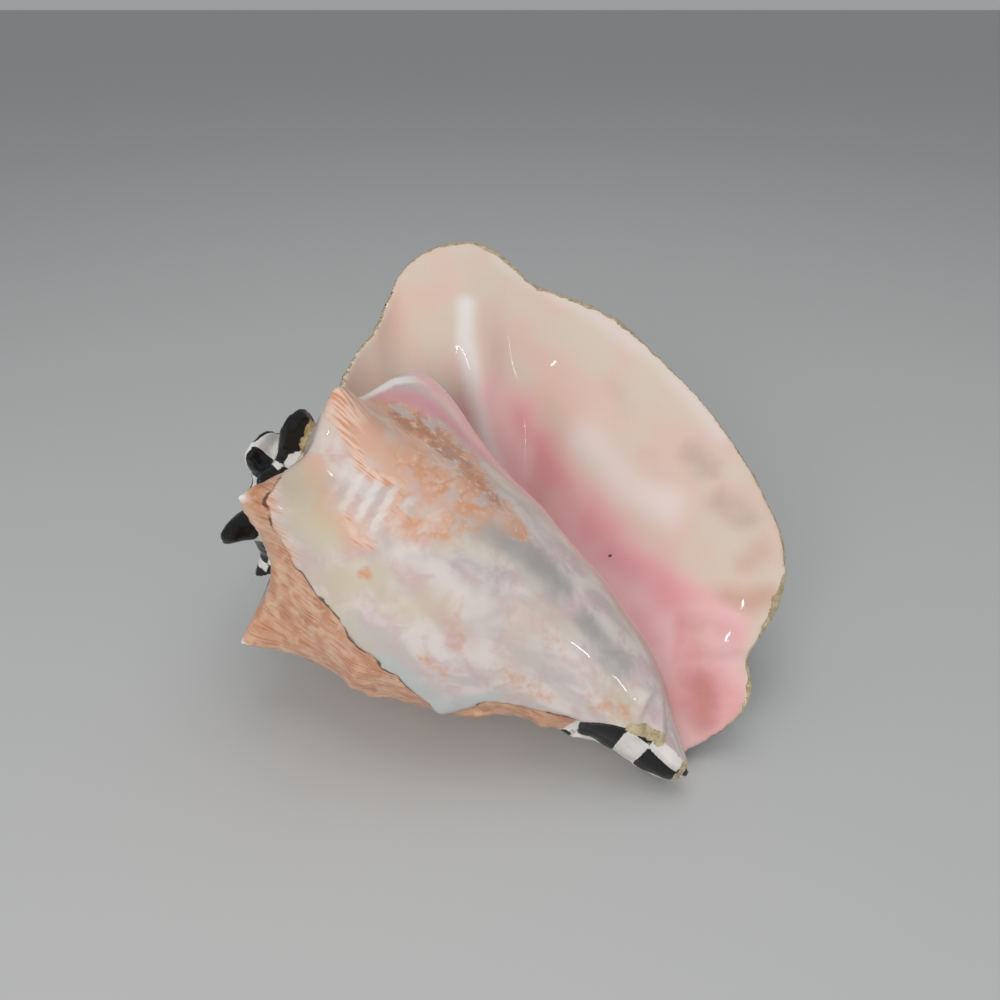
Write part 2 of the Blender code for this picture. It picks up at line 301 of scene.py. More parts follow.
def core_rows(step):
    """Rings round the axis from the canal's tip to the apex."""
    heights = np.linspace(CANAL_TIP, SHELL_LENGTH, int(SHELL_LENGTH / step) + 4)
    around = int(2 * np.pi * BODY_WIDEST / step)
    angles = np.linspace(CORE_END - 360, CORE_END, around, endpoint=False)
    turn, z = np.meshgrid(angles, heights)
    return from_polar(turn, core_radius(turn, z), z)


def generating_curve(turn, share):
    """The middle of the wall at a turn angle: share 0 at the canal, 1 at the suture."""
    shoulder = through(SHOULDER_HEIGHT, turn)
    low = 3 + (shoulder - 3) * share / SHOULDER_SHARE
    top = through(SHOULDER_HEIGHT, turn - 360) - SUTURE_DROP
    inner = through(SHOULDER_RADIUS, turn - 360) - SUTURE_DROP
    up = (share - SHOULDER_SHARE) / (1 - SHOULDER_SHARE)
    on_ramp = share > SHOULDER_SHARE
    z = np.where(on_ramp, shoulder + (top - shoulder) * up, low)
    outer = smooth_radius(turn, np.minimum(z, shoulder))
    ramp = outer + (inner - outer) * up - 3 * np.sin(np.pi * np.clip(up, 0, 1))
    canal = CANAL_LIFT * ease((turn - 110) / 50) * ease((60 - z) / 50)
    radius = np.where(on_ramp, ramp, outer) - WALL / 2 + canal
    return from_polar(turn, radius, z)


def wall_sheet(step):
    """The middle of the last whorl's wall and of the lip, as a grid (along growth, share), how
    far the outer face stands out at each point of it, and the growth angle of each row."""
    shares = np.linspace(0, 1, int(300 / step))
    turns = np.linspace(WALL_START, LIP_START, int(130 / step))
    turn, share = np.meshgrid(turns, shares, indexing="ij")
    wall = generating_curve(turn, share)
    start = wall[-1]
    leave = wall[-1] - wall[-3]
    leave /= np.linalg.norm(leave, axis=-1, keepdims=True)
    margin = through(MARGIN, shares)
    chord = margin - start
    length = np.linalg.norm(chord, axis=-1, keepdims=True)
    arrive = chord * np.array([1.0, 0.35, 1.0])
    arrive /= np.linalg.norm(arrive, axis=-1, keepdims=True)
    t = np.linspace(0, 1, int(170 / step))[1:, None, None]
    lip = (
        (1 + 2 * t) * (1 - t) ** 2 * start
        + t * (1 - t) ** 2 * length * 0.9 * leave
        + t * t * (3 - 2 * t) * margin
        + t * t * (t - 1) * length * 0.8 * arrive
    )
    way = t[..., 0]
    for inner, outer, offset, half_width, strongest, spread in FOLDS:
        middle = inner + (outer - inner) * ease(way)
        across = np.exp(-(((shares[None, :] - middle) / half_width) ** 2))
        along = np.exp(-(((way - strongest) / spread) ** 2)) * ease(way / 0.15)
        lip[..., 1] += offset * across * along
    turns = np.concatenate([turns, LIP_START + LIP_TURNS * t[:, 0, 0]])
    level = through(SHOULDER_HEIGHT, turns)[:, None] + (shares - SHOULDER_SHARE) * SHARE_LENGTH
    fade = ease((turns[-1] + 10 - turns) / 60)[:, None]
    return np.concatenate([wall, lip]), relief(turns[:, None], level) * fade, turns


def sheet_normal(sheet):
    """Points out of the shell, away from the aperture."""
    normal = np.cross(np.gradient(sheet, axis=0), np.gradient(sheet, axis=1))
    return normal / (np.linalg.norm(normal, axis=-1, keepdims=True) + 1e-9)


def knob_direction(normal, turns):
    """Knobs stand straight out from the axis on the body whorl, and across the wall on the lip."""
    turn = np.radians(turns)[:, None, None]
    outward = np.concatenate([-np.sin(turn), np.cos(turn), 0 * turn], axis=-1)
    on_lip = ease((turns - 150) / 60)[:, None, None]
    return normal * on_lip + outward * (1 - on_lip)


def thick_rows(sheet, rise, turns):
    """The sheet made solid: each row of the grid becomes a ring, out along the inner face and
    back along the outer one."""
    normal = sheet_normal(sheet)
    thickness = np.linspace(WALL, LIP_EDGE, len(sheet))[:, None, None]
    half = normal * thickness / 2
    outside = knob_direction(normal, turns) * rise[..., None]
    return np.concatenate([sheet - half, (sheet + half + outside)[:, ::-1]], axis=1)


def joined_skin(meshes):
    """One object from several closed meshes that run into each other, under one even skin."""
    points = []
    faces = []
    for mesh in meshes:
        first = len(points)
        points += [vertex.co.copy() for vertex in mesh.vertices]
        faces += [[first + corner for corner in face.vertices] for face in mesh.polygons]
        bpy.data.meshes.remove(mesh)
    mesh = bpy.data.meshes.new("shell_skin")
    mesh.from_pydata(points, [], faces)
    shell = bpy.data.objects.new("shell_skin", mesh)
    bpy.context.scene.collection.objects.link(shell)
    remesh = shell.modifiers.new("one skin", "REMESH")
    remesh.mode = "VOXEL"
    remesh.voxel_size = VOXEL
    soften = shell.modifiers.new("soften", "SMOOTH")
    soften.factor = 0.5
    soften.iterations = SOFTEN_ROUNDS
    bake(shell)
    return shell


def bake(item):
    """Replaces the object's mesh by what its modifiers make of it."""
    bpy.context.view_layer.update()
    graph = bpy.context.evaluated_depsgraph_get()
    mesh = bpy.data.meshes.new_from_object(item.evaluated_get(graph))
    item.modifiers.clear()
    old = item.data
    item.data = mesh
    bpy.data.meshes.remove(old)
    mesh.name = item.name


# Where each point of the skin lies on the shell

def places_of(shell):
    """Every point of the skin and its outward direction."""
    mesh = shell.data
    places = np.empty(len(mesh.vertices) * 3, np.float32)
    normals = np.empty(len(mesh.vertices) * 3, np.float32)
    mesh.vertices.foreach_get("co", places)
    mesh.vertices.foreach_get("normal", normals)
    return places.reshape(-1, 3).astype(float), normals.reshape(-1, 3).astype(float)


def nearest_on_sheet(places, sheet):
    """For each point, its row and column on the sheet, with fractions, how far it stands off
    the sheet toward the outside, and how far past the sheet's edge."""
    rows, columns = sheet.shape[:2]
    tree = KDTree(rows * columns)
    for index, point in enumerate(sheet.reshape(-1, 3).tolist()):
        tree.insert(point, index)
    tree.balance()
    found = np.array([tree.find(point)[1] for point in places.tolist()])
    row, column = np.divmod(found, columns)
    along = np.gradient(sheet, axis=0)[row, column]
    across = np.gradient(sheet, axis=1)[row, column]
    normal = sheet_normal(sheet)[row, column]
    off = places - sheet[row, column]
    aa = (along * along).sum(-1)
    cc = (across * across).sum(-1)
    ac = (along * across).sum(-1)
    oa = (off * along).sum(-1)
    oc = (off * across).sum(-1)
    spread = aa * cc - ac * ac + 1e-9
    row_shift = np.clip((oa * cc - oc * ac) / spread, -1, 1)
    column_shift = np.clip((oc * aa - oa * ac) / spread, -1, 1)
    side = (off * normal).sum(-1)
    level = off - side[:, None] * normal - row_shift[:, None] * along - column_shift[:, None] * across
    return row + row_shift, column + column_shift, side, np.linalg.norm(level, axis=-1)


def wobble(places, size, seed):
    """A soft random value from -1 to 1 at each place, with patches about size wide."""
    spot = Vector((seed * 17.3, seed * 5.1, seed * 9.7))
    return np.array([noise.noise(Vector(place) / size + spot) for place in places.tolist()])


def reach(places, points):
    """Distance from each place to the line through the points."""
    points = np.asarray(points, float).reshape(-1, 3)
    if len(points) == 1:
        return np.linalg.norm(places - points[0], axis=-1)
    nearest = np.full(len(places), np.inf)
    for start, end in zip(points[:-1], points[1:]):
        run = end - start
        t = np.clip(((places - start) @ run) / (run @ run), 0, 1)
        away = places - start - t[:, None] * run
        nearest = np.minimum(nearest, np.linalg.norm(away, axis=-1))
    return nearest


class Skin:
    """The points of the shell's skin, and where on the shell each of them lies."""

    def __init__(self, shell, sheet, rise, turns):
        self.places, self.normals = places_of(shell)
        self.sheet = sheet
        self.turns = turns
        row, column, self.side, gap = nearest_on_sheet(self.places, sheet)
        last_row = len(turns) - 1
        last_column = sheet.shape[1] - 1
        self.share = np.clip(column / last_column, 0, 1)
        growth = np.interp(row, np.arange(last_row + 1), turns)
        self.way = (growth - LIP_START) / LIP_TURNS
        steps = np.linalg.norm(np.diff(sheet[turns >= LIP_START], axis=0), axis=-1)
        reach_out = np.interp(self.share, np.linspace(0, 1, last_column + 1), steps.sum(axis=0))
        self.run = np.clip(self.way, 0, 1) * reach_out
        whole_row = np.clip(np.rint(row), 0, last_row).astype(int)
        whole_column = np.clip(np.rint(column), 0, last_column).astype(int)
        bulge = rise[whole_row, whole_column]
        self.z = self.places[:, 2]
        middle = through(BODY_SHIFT, self.z)
        angle = np.degrees(np.arctan2(middle - self.places[:, 0], self.places[:, 1]))
        self.angle = (angle + 260) % 360 - 260
        self.radius = np.hypot(self.places[:, 0] - middle, self.places[:, 1])
        off_core = np.abs(self.radius - core_radius(self.angle, self.z))
        half = np.interp(row, [0, last_row], [WALL / 2, LIP_EDGE / 2])
        off_inner = np.hypot(self.side + half, gap)
        off_outer = np.hypot(np.maximum(self.side - half - bulge, -(self.side - half)), gap)
        off_wall = np.minimum(off_inner, np.maximum(off_outer, 0))
        on_wall = off_wall < off_core
        self.inner = ease((1.5 - self.side) / 3) * on_wall
        self.outer = on_wall * (1 - self.inner)
        self.core = 1.0 * ~on_wall
        self.growth = np.where(on_wall, growth, self.angle)
        shoulder = through(SHOULDER_HEIGHT, self.angle)
        level = SHOULDER_SHARE + (self.z - shoulder) / SHARE_LENGTH
        self.level = np.where(on_wall, self.share, level) * SHARE_LENGTH
        self.above = np.where(on_wall, self.share > SHOULDER_SHARE, self.z > shoulder)

    def on_body(self, points):
        """Places on the body whorl, from (turn angle, height)."""
        points = np.array(points, float).reshape(-1, 2)
        return from_polar(points[:, 0], core_radius(points[:, 0], points[:, 1]), points[:, 1])

    def on_lip(self, points):
        """Places on the lip's inner face, from (way from throat to margin, share)."""
        points = np.array(points, float).reshape(-1, 2)
        row = np.interp(LIP_START + LIP_TURNS * points[:, 0], self.turns, np.arange(len(self.turns)))
        column = points[:, 1] * (self.sheet.shape[1] - 1)
        return self.sheet[np.rint(row).astype(int), np.rint(column).astype(int)]

    def tint(self, strokes, place_on):
        """A soft mask of several brush strokes: (strength, half width in mm, points)."""
        mask = np.zeros(len(self.places))
        for strength, width, points in strokes:
            mask = np.maximum(mask, strength * np.exp(-((reach(self.places, place_on(points)) / width) ** 2)))
        return mask


# Colours that lie on the lip's inner face, with the lilac along the ridge lightened as painted light, as
# strokes:
# strength, half width, and points as (way from throat to margin, share from canal to suture)
LIP_STROKES = {
    "deep_rose": [
        (0.55, 9, [(0.56, 0.705), (0.50, 0.65), (0.46, 0.58), (0.43, 0.50), (0.43, 0.44)]),
        (0.8, 11, [(0.43, 0.44), (0.45, 0.39), (0.49, 0.34), (0.50, 0.29)]),
        (0.9, 4, [(0.50, 0.29), (0.51, 0.25), (0.50, 0.21), (0.47, 0.17)]),
        (0.6, 7, [(0.72, 0.218), (0.80, 0.205)]),
        (0.8, 10, [(0.56, 0.17), (0.60, 0.12), (0.66, 0.085)]),
        (0.6, 12, [(0.66, 0.16), (0.74, 0.13)]),
    ],
    "peach": [
        (0.7, 16, [(0.86, 0.91), (0.74, 0.915)]),
        (0.6, 10, [(0.95, 0.95), (0.82, 0.945), (0.74, 0.95)]),
        (0.35, 12, [(0.66, 0.87), (0.78, 0.875)]),
        (0.5, 8, [(0.84, 0.23), (0.80, 0.22)]),
    ],
    "milk": [
        (1.0, 6.0, [(0.76, 0.824), (0.66, 0.818), (0.58, 0.80), (0.50, 0.775)]),
        (1.0, 6.0, [(0.50, 0.775), (0.42, 0.735), (0.34, 0.68), (0.26, 0.62)]),
        (0.6, 14, [(0.62, 0.60), (0.60, 0.52), (0.66, 0.46)]),
        (0.5, 7, [(0.98, 0.80), (0.985, 0.70), (0.98, 0.60), (0.98, 0.50)]),
    ],
    "lilac_and_ridge_light": [
        # lilac tint on the ridge's flank, partly its own tint, partly painted light where light falls on the
        # ridge
        (0.9, 7.5, [(0.44, 0.765), (0.36, 0.72), (0.28, 0.66), (0.22, 0.60), (0.18, 0.55)]),
    ],
    "mauve": [
        (0.6, 9, [(0.84, 0.505), (0.86, 0.475)]),
        (0.6, 10, [(0.83, 0.43), (0.88, 0.395)]),
        (0.3, 10, [(0.72, 0.53), (0.70, 0.50)]),
        (0.3, 8, [(0.80, 0.62), (0.78, 0.59)]),
    ],
    "tan": [
        (0.6, 9, [(0.88, 0.345), (0.82, 0.33)]),
        (0.8, 8, [(0.90, 0.265), (0.80, 0.262), (0.72, 0.27)]),
        (0.6, 8, [(0.80, 0.08), (0.88, 0.10)]),
    ],
    "umber": [
        (0.75, 11, [(0.59, 0.13), (0.62, 0.10), (0.64, 0.08)]),
        (0.4, 17, [(0.58, 0.22), (0.68, 0.13), (0.78, 0.09)]),
    ],
}

# How far the rose of the throat spreads over the lip: (share, way from throat to margin)
ROSE_EDGE = [
    (0.00, 0.97), (0.08, 0.93), (0.14, 0.90), (0.20, 0.92), (0.245, 0.78), (0.28, 0.67),
    (0.33, 0.60), (0.37, 0.56), (0.414, 0.55), (0.469, 0.54), (0.537, 0.53), (0.60, 0.53),
    (0.65, 0.56), (0.70, 0.62), (0.74, 0.66), (0.765, 0.66), (0.785, 0.56), (0.81, 0.48),
    (0.86, 0.42), (1.00, 0.36),
]
ROSE_SOFTNESS = 0.2

# Colours that lie on the body whorl, and a painted highlight along the mound's crest, as strokes: strength,
# half width, and points as (turn angle, height along the axis)
BODY_STROKES = {
    "mottle": [
        (1.0, 11, [(-50, 182), (-54, 169), (-52, 152), (-48, 138)]),
        (0.9, 9, [(-33, 160), (-33, 146), (-36, 132)]),
        (0.6, 10, [(-16, 152), (-12, 138), (-22, 128)]),
        (0.6, 7, [(-44, 122), (-40, 110)]),
    ],
    "clay": [
        (0.8, 10, [(-29, 198), (-27, 190)]),
        (0.8, 3.0, [(-24, 192), (-20, 180), (-16, 170), (-19, 160)]),
        (0.6, 3.0, [(-32, 190), (-38, 178), (-44, 166), (-42, 152)]),
        (0.7, 2.5, [(3, 164), (7, 154), (5, 148)]),
        (0.5, 2.5, [(-2, 152), (-12, 150), (-22, 156)]),
        (1.0, 9, [(10, 194), (20, 188), (28, 178)]),
    ],
    "wash": [
        (1.0, 13, [(-29, 198), (-29, 184), (-26, 172), (-24, 160)]),
        (0.9, 12, [(-44, 192), (-42, 178), (-36, 160), (-30, 142)]),
        (0.7, 9, [(-6, 186), (2, 172), (6, 156)]),
        (0.6, 11, [(-40, 116), (-26, 130), (-8, 146)]),
    ],
    "bark": [
        (1.0, 9, [(-50, 180), (-53, 168), (-50, 156)]),
        (0.8, 6, [(-52, 152), (-48, 138), (-44, 126)]),
    ],
    "violet": [
        (1.0, 11, [(-50, 194), (-60, 186), (-66, 174)]),
        (0.9, 9, [(-64, 178), (-68, 164), (-70, 150)]),
    ],
    "slate": [
        (0.9, 9, [(-28, 128), (-31, 112), (-33, 98), (-33, 84)]),
        (0.8, 8, [(-24, 66), (-20, 56), (-18, 46)]),
        (0.5, 9, [(-12, 118), (-14, 104)]),
        (0.35, 8, [(30, 70), (20, 62)]),
    ],
    "sand": [
        (1.0, 12, [(0, 188), (8, 176), (10, 166)]),
        (0.8, 9, [(22, 150), (14, 140)]),
        (0.6, 9, [(18, 124), (10, 116)]),
        (0.5, 8, [(2, 46), (4, 38)]),
        (0.5, 5, [(30, 165), (34, 150), (40, 135)]),
    ],
    "ice": [
        (1.0, 6, [(46, 122), (52, 108), (60, 98), (66, 93), (58, 86), (52, 80)]),
        (0.5, 6, [(38, 132), (34, 140)]),
    ],
    "amber": [
        (0.9, 3.5, [(15, 144)]),
        (0.6, 6.5, [(31, 78), (36, 70), (38, 62)]),
        (0.6, 6.0, [(22, 44), (16, 40), (12, 34)]),
        (0.6, 4.5, [(36, 108), (38, 100)]),
        (0.5, 6, [(14, 106), (22, 100)]),
        (0.4, 7, [(-2, 74), (8, 66)]),
    ],
    # a thin pale line along the crest of the mound, where light catches it: painted highlight
    "crest_highlight": [
        (1.0, 3.0, [(-40, 199), (-52, 201), (-64, 200), (-72, 195), (-77, 186)]),
    ],
    "blush": [
        (0.9, 3.5, [(-66, 140), (-70, 120), (-72, 100), (-68, 80), (-62, 60), (-62, 40), (-66, 22)]),
        (0.5, 7, [(6, 132), (20, 96)]),
        (0.5, 8, [(-6, 92), (-4, 82)]),
    ],
}

# Edge of the pearly glaze on the body whorl: (height, turn angle), and how proud it stands
GLAZE_EDGE = [
    (-5, -20), (8, 0), (20, 20), (29, 30), (38, 39), (44, 49), (52, 52), (64, 56), (77, 56),
    (83, 62), (89, 72), (95, 71), (98, 69), (112, 55), (123, 49), (136, 44), (141, 40),
    (150, 36), (161, 34), (173, 28), (182, 18), (190, 8), (196, 0), (203, -14), (208, -40), (214, -70),
]
GLAZE_HEIGHT = 1.1
SPECK_SIZE = 1.6

# Painted checks at the canal: their edges along the axis and round it
CANAL_CHECK_HEIGHTS = [(-12, -1), (3, 0), (18.5, 1), (28, 2), (46, 3), (62, 4)]
CANAL_CHECK_TURNS = [(-38, -1), (20, 0), (78, 1), (130, 2), (190, 3.6)]
CHECK_SIZE = 14.5

# Raised loop of clear coat and leaf beside the canal, as (turn angle, height)
CANAL_LOOP = [(20, 24), (4, 29), (-19, 31), (-33, 30), (-38, 26), (-27, 20), (-8, 15.5)]
CANAL_LEAF = [(18, 28), (8, 24), (0, 19), (-6, 16)]


# Width of the gilding on the inner side of the rim: (share, mm)
GILT_WIDTH = [
    (0.0, 3.0), (0.04, 4.0), (0.07, 10.0), (0.13, 10.0), (0.16, 4.0), (0.20, 4.0), (0.22, 9.0),
    (0.27, 8.0), (0.30, 3.0), (0.38, 2.0), (0.56, 1.6), (0.64, 2.8), (0.72, 3.2), (0.80, 3.4),
    (0.90, 3.6), (0.95, 3.8), (1.0, 3.0),
]


# A tiny dark speck in the throat, as (way, share)
LIP_SPECK = [(0.42, 0.432)]


def speck(skin):
    """Strongest in the middle of the speck, on the skin's point that lies nearest to it."""
    away = np.linalg.norm(skin.places - skin.on_lip(LIP_SPECK), axis=-1)
    middle = skin.places[np.argmin(away + 100 * (skin.inner < 0.5))]
    return 1.0 - np.linalg.norm(skin.places - middle, axis=-1) / SPECK_SIZE


def stripes(skin):
    """Short white bars side by side on the glaze."""
    middle_turn, middle_height, spacing = -8.0, 161.0, 7.6
    along = (skin.angle - middle_turn) / 11
    across = (skin.z - middle_height) / 15
    window = np.exp(-(along**4) - across**4)
    return skin.core * window * ease(0.5 + 0.9 * np.cos(2 * np.pi * (skin.z + 0.25 * skin.angle) / spacing))


def glaze(skin):
    """How far inside the glaze's edge each point is, in mm; negative outside it."""
    table = np.array(GLAZE_EDGE, float)
    edge = np.interp(skin.z, table[:, 0], table[:, 1])
    inside = np.radians(edge - skin.angle) * skin.radius
    inside = inside + 2.2 * wobble(skin.places, 7, 1) + 1.0 * wobble(skin.places, 2.6, 2)
    return np.where(skin.core > 0.5, inside, -20)


def painted(skin):
    """How far inside the painted area each point is, in mm; negative outside it."""
    edge = 2.0 * wobble(skin.places, 9, 3)
    canal_end = np.interp(skin.growth, [-200, -45, -10, 20, 52, 75, 120], [0, 0, 14, 28, 47, 50, 62])
    canal = (canal_end - skin.z) + 0.4 * edge
    canal = np.where(skin.angle < -30, np.minimum(canal, -skin.z - 1), canal)
    under = (skin.growth - 122) * 1.0 + edge
    spire = np.where(skin.core > 0.5, skin.z - through(SHOULDER_HEIGHT, skin.angle) - 4 + 0.5 * edge, -20)
    spire = np.where((skin.angle < -100), skin.z - 206, spire)
    spire = np.where((skin.angle > -45) & (skin.angle < 0), skin.z - 206 + 0.5 * edge, spire)
    spire = np.where((skin.angle > -100) & (skin.angle < -45), skin.z - 212, spire)
    back = np.where(skin.outer > 0.5, under, -20)
    back = np.maximum(back, np.where((skin.outer > 0.5) & skin.above & (skin.growth > 90), 6 + edge, -20))
    area = np.maximum(np.maximum(canal, back), spire)
    return np.where(skin.inner > 0.5, -20, area)


def checks(skin):
    """The painted checks: above zero in a black one, below zero in a white one."""
    heights = np.array(CANAL_CHECK_HEIGHTS, float)
    canal_turns = np.array(CANAL_CHECK_TURNS, float)
    bend = 0.10 * wobble(skin.places, 14, 4)
    up = np.interp(skin.z, heights[:, 0], heights[:, 1])
    up = np.where(skin.z > 62, 4 + (skin.z - 62) / CHECK_SIZE, up)
    up = np.where(skin.outer > 0.5, np.where(skin.z > 62, 4 + (skin.level - 62) / CHECK_SIZE, up), up)
    round_it = np.interp(skin.growth, canal_turns[:, 0], canal_turns[:, 1])
    round_it = np.where(skin.growth > LIP_START, 3.6 + skin.run / CHECK_SIZE, round_it)
    round_it = np.where(skin.growth < -38, -1 + (skin.growth + 38) / 26, round_it)
    lower = np.sin(np.pi * (up + bend)) * np.sin(np.pi * (round_it + bend))
    spire = np.sin(np.pi * (skin.z / 8.5 + bend)) * np.sin(np.pi * (skin.angle / 30 + bend))
    return np.where((skin.core > 0.5) & (skin.z > 196), spire, lower)


def spine_caps(skin):
    """Strongest on the blunt spines and on the knobs of the painted side."""
    cap = np.zeros(len(skin.places))
    for spine in SPINES[:7]:
        for turn in (skin.angle, skin.angle - 360):
            cap = np.maximum(cap, spine_rise(turn, skin.z, spine))
    return np.where(skin.core > 0.5, cap, 0)


def gilding(skin):
    """Gold leaf: on the lip's rim, along the seam below the spire and beside the canal."""
    ragged = wobble(skin.places, 5, 5) + 0.5 * wobble(skin.places, 2, 6)
    length = 165.0
    to_rim = (1 - skin.way) * length
    outer_rim = 4.5 + 2.5 * ragged - to_rim
    inner_width = np.interp(skin.share, *np.array(GILT_WIDTH).T)
    inner_rim = inner_width * (1 + 0.4 * ragged) + 0.4 * ragged - to_rim
    rim = np.where(skin.side > 0.6, outer_rim, inner_rim)
    rim = np.where(skin.core > 0.5, -9, rim)
    leaf = 2.6 + 1.2 * ragged - reach(skin.places, skin.on_body(CANAL_LEAF))
    seam_height = through(SHOULDER_HEIGHT, skin.angle) + 11
    seam = 3.0 + 1.2 * ragged - np.abs(skin.z - seam_height)
    seam = np.where((skin.core > 0.5) & (skin.angle > -75), seam, -9)
    tip = 1.2 + 0.8 * ragged - np.abs(skin.z - 1.5)
    tip = np.where(skin.core > 0.5, tip, -9)
    return np.maximum(np.maximum(rim, leaf), np.maximum(seam, tip))


def raise_relief(shell, skin, glaze_depth):
    """Moves the skin's points for the glaze's thick edge, the loop and the growth ridges."""
    step = GLAZE_HEIGHT * ease((glaze_depth + 1.5) / 3) * ease((skin.z - 14) / 14) * (skin.core > 0.5)
    natural = ease((-glaze_depth) / 3) * np.where(skin.inner > 0.5, 0, 1)
    folds = wobble(skin.places * [1, 1, 0.25], 3.2, 7)
    knots = wobble(skin.places, 6, 8)
    ridges = natural * (0.45 * folds + 0.5 * knots)
    loop = 1.5 * np.exp(-((reach(skin.places, skin.on_body(CANAL_LOOP)) / 1.6) ** 2))
    rim = ease((skin.way - 0.95) / 0.05) * 0.7 * wobble(skin.places, 6, 9) * (skin.core < 0.5)
    moved = skin.places + skin.normals * (step + ridges + loop + rim)[:, None]
    shell.data.vertices.foreach_set("co", moved.astype(np.float32).ravel())
    shell.data.update()


def keep_value(shell, name, values):
    layer = shell.data.attributes.new(name, "FLOAT", "POINT")
    layer.data.foreach_set("value", np.asarray(values, np.float32))


def lay_out_colours(shell, skin):
    """Stores on the skin where each colour of the finish lies."""
    for name, strokes in LIP_STROKES.items():
        keep_value(shell, name, skin.tint(strokes, skin.on_lip))
    for name, strokes in BODY_STROKES.items():
        keep_value(shell, name, skin.tint(strokes, skin.on_body))
    rose_edge = np.interp(skin.share, *np.array(ROSE_EDGE).T)
    keep_value(shell, "rose", ease((rose_edge - skin.way) / ROSE_SOFTNESS + 0.5))
    glaze_depth = glaze(skin)
    inward = ease((-66 - skin.angle) / 9) * ease((205 - skin.z) / 12)
    keep_value(shell, "aperture", np.where(skin.core > 0.5, inward, skin.inner))
    keep_value(shell, "columella", np.where(skin.core > 0.5, inward, 0))
    keep_value(shell, "glaze", glaze_depth)
    keep_value(shell, "bars", stripes(skin))
    keep_value(shell, "speck", speck(skin))
    keep_value(shell, "painted", painted(skin))
    keep_value(shell, "checks", checks(skin))
    keep_value(shell, "caps", spine_caps(skin))
    keep_value(shell, "gilding", gilding(skin))
    keep_value(shell, "round", np.radians(skin.growth) * 57)
    keep_value(shell, "along", skin.level)
    tips = sum(knob_rise(skin.angle, skin.z, knob) for knob in KNOBS)
    keep_value(shell, "tips", np.where(skin.core > 0.5, tips, 0))
    return glaze_depth


# Finishing steps

def resting_matrix():
    """Turns the shell's own frame into the frame in which it lies on the ground, in metres."""
    rise, heading, roll = np.radians([AXIS_RISE, AXIS_HEADING, ROLL])
    axis = Vector(
        (np.cos(rise) * np.cos(heading), np.cos(rise) * np.sin(heading), np.sin(rise))
    )
    top = (Vector((0, 0, 1)) - axis * axis.z).normalized()
    side = axis.cross(top)
    out = top * np.cos(roll) - side * np.sin(roll)
    wide = top * np.sin(roll) + side * np.cos(roll)
    turn = Matrix((wide, out, axis)).transposed().to_4x4()
    return Matrix.Translation((0, 0, TIP_HEIGHT * MM)) @ turn @ Matrix.Scale(MM, 4)


def lay_down(shell):
    """Lays the skin on the ground where the solid lies, worn flat where it touches."""
    shell.data.transform(resting_matrix())
    places, _ = places_of(shell)
    low, high = (np.array(corner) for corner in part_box(CAD_NODE))
    middle = (places.min(axis=0) + places.max(axis=0)) / 2
    places += (low + high) / 2 * [1, 1, 0] - middle * [1, 1, 0]
    places[:, 2] = np.maximum(places[:, 2], 0)
    shell.data.vertices.foreach_set("co", places.astype(np.float32).ravel())
    shell.data.update()


class Layers:
    """Builds a material's nodes one below the other."""

    def __init__(self, name):
        self.material = bpy.data.materials.new(name)
        self.material.use_nodes = True
        self.nodes = self.material.node_tree.nodes
        self.links = self.material.node_tree.links
        self.shader = self.nodes["Principled BSDF"]
        self.place = self.nodes.new("ShaderNodeTexCoord").outputs["Object"]

    def feed(self, socket, value):
        if isinstance(value, bpy.types.NodeSocket):
            self.links.new(value, socket)
        else:
            socket.default_value = value

    def value(self, name):
        """A value stored on the skin."""
        node = self.nodes.new("ShaderNodeAttribute")
        node.attribute_name = name
        return node.outputs["Fac"]

    def math(self, step, first, second=0.0):
        node = self.nodes.new("ShaderNodeMath")
        node.operation = step
        self.feed(node.inputs[0], first)
        self.feed(node.inputs[1], second)
        return node.outputs["Value"]

    def times(self, first, second):
        return self.math("MULTIPLY", first, second)

    def surface(self, stretch):
        """Millimetres round the whorl and along the axis, the second drawn out by stretch."""
        node = self.nodes.new("ShaderNodeCombineXYZ")
        self.feed(node.inputs["X"], self.value("round"))
        self.feed(node.inputs["Y"], self.times(self.value("along"), stretch))
        return node.outputs["Vector"]

    def cells(self, size, ragged):
        """Distance from the borders of uneven cells about size millimetres wide."""
        node = self.nodes.new("ShaderNodeTexVoronoi")
        node.feature = "DISTANCE_TO_EDGE"
        node.inputs["Scale"].default_value = 1 / (size * MM)
        shift = self.nodes.new("ShaderNodeVectorMath")
        shift.operation = "MULTIPLY_ADD"
        self.feed(shift.inputs[0], ragged)
        shift.inputs[1].default_value = (6 * MM,) * 3
        self.feed(shift.inputs[2], self.place)
        self.feed(node.inputs["Vector"], shift.outputs["Vector"])
        return node.outputs["Distance"]

    def grain(self, size, detail=3.0, roughness=0.5, place=None, distortion=0.0):
        """Cloudy noise with patches about size millimetres wide."""
        node = self.nodes.new("ShaderNodeTexNoise")
        node.inputs["Scale"].default_value = 1 / (size * MM) if place is None else 1 / size
        node.inputs["Detail"].default_value = detail
        node.inputs["Roughness"].default_value = roughness
        node.inputs["Distortion"].default_value = distortion
        self.links.new(self.place if place is None else place, node.inputs["Vector"])
        return node.outputs["Fac"]

    def spread(self, value, low, high, to_low=0.0, to_high=1.0):
        node = self.nodes.new("ShaderNodeMapRange")
        node.interpolation_type = "SMOOTHSTEP"
        self.feed(node.inputs["Value"], value)
        self.feed(node.inputs["From Min"], low)
        self.feed(node.inputs["From Max"], high)
        self.feed(node.inputs["To Min"], to_low)
        self.feed(node.inputs["To Max"], to_high)
        return node.outputs["Result"]

    def mix(self, mask, under, over):
        node = self.nodes.new("ShaderNodeMix")
        node.data_type = "RGBA"
        self.feed(node.inputs[0], mask)
        self.feed(node.inputs[6], under)
        self.feed(node.inputs[7], over)
        return node.outputs[2]

    def soaked(self, name, ragged, amount, low=0.2, high=0.9):
        """A stored mask whose edge is broken up by noise."""
        loose = self.math("MULTIPLY", self.math("SUBTRACT", ragged, 0.5), amount)
        return self.spread(self.math("ADD", self.value(name), loose), low, high)


